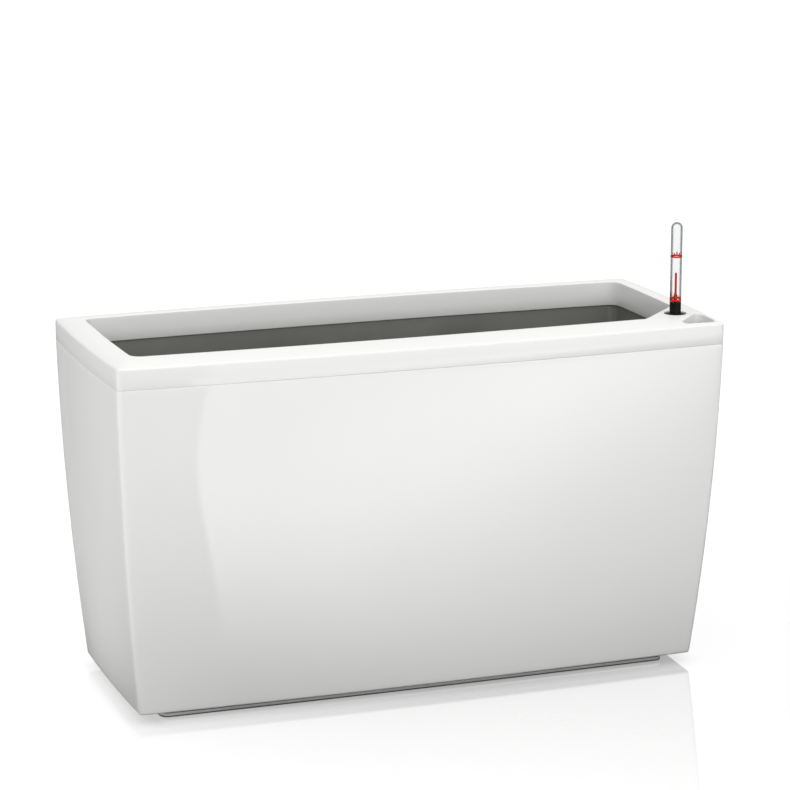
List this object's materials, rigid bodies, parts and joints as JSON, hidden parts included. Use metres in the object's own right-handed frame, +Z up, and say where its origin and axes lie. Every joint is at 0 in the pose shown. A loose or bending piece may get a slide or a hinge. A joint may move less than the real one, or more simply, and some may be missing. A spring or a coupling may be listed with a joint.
{
  "type": "self watering planter",
  "caption": "Rectangular self-watering planter with a tapered glossy shell, rim frame, removable plant liner, water reservoir and float level indicator.",
  "frame": {"origin": "centre of the footprint, on the floor", "axes": "+X along the length, +Y towards the back, +Z up; the indicator stands at the front right corner"},
  "size_m": [0.75, 0.3136, 0.5408],
  "materials": {
    "shell_white": "high-gloss white moulding",
    "plinth_grey": "satin light grey moulding",
    "pad_rubber": "matte",
    "screw_steel": "zinc plated",
    "liner_grey": "fine matte grain",
    "handle_grey": "satin",
    "grip_rubber": "soft matte",
    "peg_nylon": "natural nylon",
    "separator_black": "satin",
    "indicator_black": "semi-gloss",
    "indicator_clear": "clear moulded",
    "indicator_red": "bright red",
    "seal_rubber": "matte",
    "float_foam": "closed-cell foam"
  },
  "bodies": {
    "shell": {"outer_shell": "shell_white", "base_plinth": "plinth_grey", "foot_pads": "pad_rubber", "plinth_screws": "screw_steel"},
    "liner": {"plant_liner": "liner_grey", "water_shaft": "liner_grey", "guide_screws": "screw_steel", "handle_guide_left": "liner_grey", "handle_guide_right": "liner_grey"},
    "drain": {"drain_plug": "indicator_black", "drain_seal": "seal_rubber"},
    "frame": {"planter_frame": "shell_white", "frame_pegs": "peg_nylon"},
    "handle_left": {"lift_handle_left": "handle_grey", "handle_grip_left": "grip_rubber"},
    "handle_right": {"lift_handle_right": "handle_grey", "handle_grip_right": "grip_rubber"},
    "separator": {"soil_separator": "separator_black", "soil_cups": "separator_black", "separator_legs": "separator_black"},
    "indicator": {"level_tube_black": "indicator_black", "level_tube_clear": "indicator_clear", "tube_end_cap": "indicator_black", "guide_collar": "indicator_black", "min_ring": "indicator_red", "max_ring": "indicator_red", "level_marks": "indicator_red"},
    "float": {"float_body": "float_foam", "float_pointer": "indicator_red"}
  },
  "joints": [
    {"name": "liner_lift", "type": "slide", "parent": "shell", "child": "liner", "axis": [0, 0, 1], "range_m": [0, 0.4]},
    {"name": "frame_lift", "type": "slide", "parent": "liner", "child": "frame", "axis": [0, 0, 1], "range_m": [0, 0.16]},
    {"name": "handle_left_pull", "type": "slide", "parent": "liner", "child": "handle_left", "axis": [0, 0, 1], "range_m": [0, 0.08]},
    {"name": "handle_right_pull", "type": "slide", "parent": "liner", "child": "handle_right", "axis": [0, 0, 1], "range_m": [0, 0.08]},
    {"name": "separator_lift", "type": "slide", "parent": "liner", "child": "separator", "axis": [0, 0, 1], "range_m": [0, 0.42]},
    {"name": "drain_plug_pull", "type": "slide", "parent": "liner", "child": "drain", "axis": [0, 0, 1], "range_m": [0, 0.03]},
    {"name": "indicator_lift", "type": "slide", "parent": "liner", "child": "indicator", "axis": [0, 0, 1], "range_m": [0, 0.42]},
    {"name": "float_travel", "type": "slide", "parent": "indicator", "child": "float", "axis": [0, 0, 1], "range_m": [-0.03, 0.02]}
  ]
}
